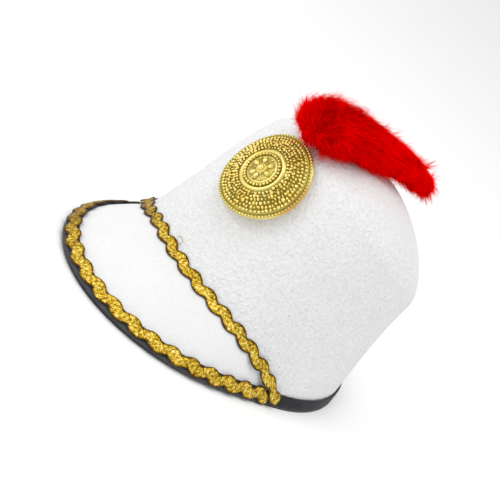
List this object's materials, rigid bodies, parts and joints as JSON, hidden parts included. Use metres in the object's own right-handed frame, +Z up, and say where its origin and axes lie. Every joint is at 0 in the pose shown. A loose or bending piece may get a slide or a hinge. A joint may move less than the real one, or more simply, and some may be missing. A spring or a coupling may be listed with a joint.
{
  "type": "marching band hat",
  "caption": "White felt bell hat with a wrapped peak, black bound edge, gold ric-rac braid, round gold badge and a red plume laid back over the top.",
  "frame": {"origin": "middle of the hat's footprint, on the plane that its bound edge stands on", "axes": "+Z up, -Y the front (the way the wearer faces), +X the wearer's left"},
  "size_m": [0.1848, 0.2644, 0.1769],
  "materials": {
    "crown_felt": "white pressed felt, finely pebbled",
    "peak_felt": "white pressed felt, smooth",
    "binding": "black folded bias tape",
    "braid": "gold metallic ric-rac braid",
    "badge_gold": "gold plated, pressed relief",
    "plume_red": "red marabou"
  },
  "bodies": {
    "root": {"crown": "crown_felt", "peak": "peak_felt", "edge_binding": "binding", "peak_braid": "braid", "join_braid": "braid", "badge": "badge_gold", "plume": "plume_red"}
  },
  "joints": []
}
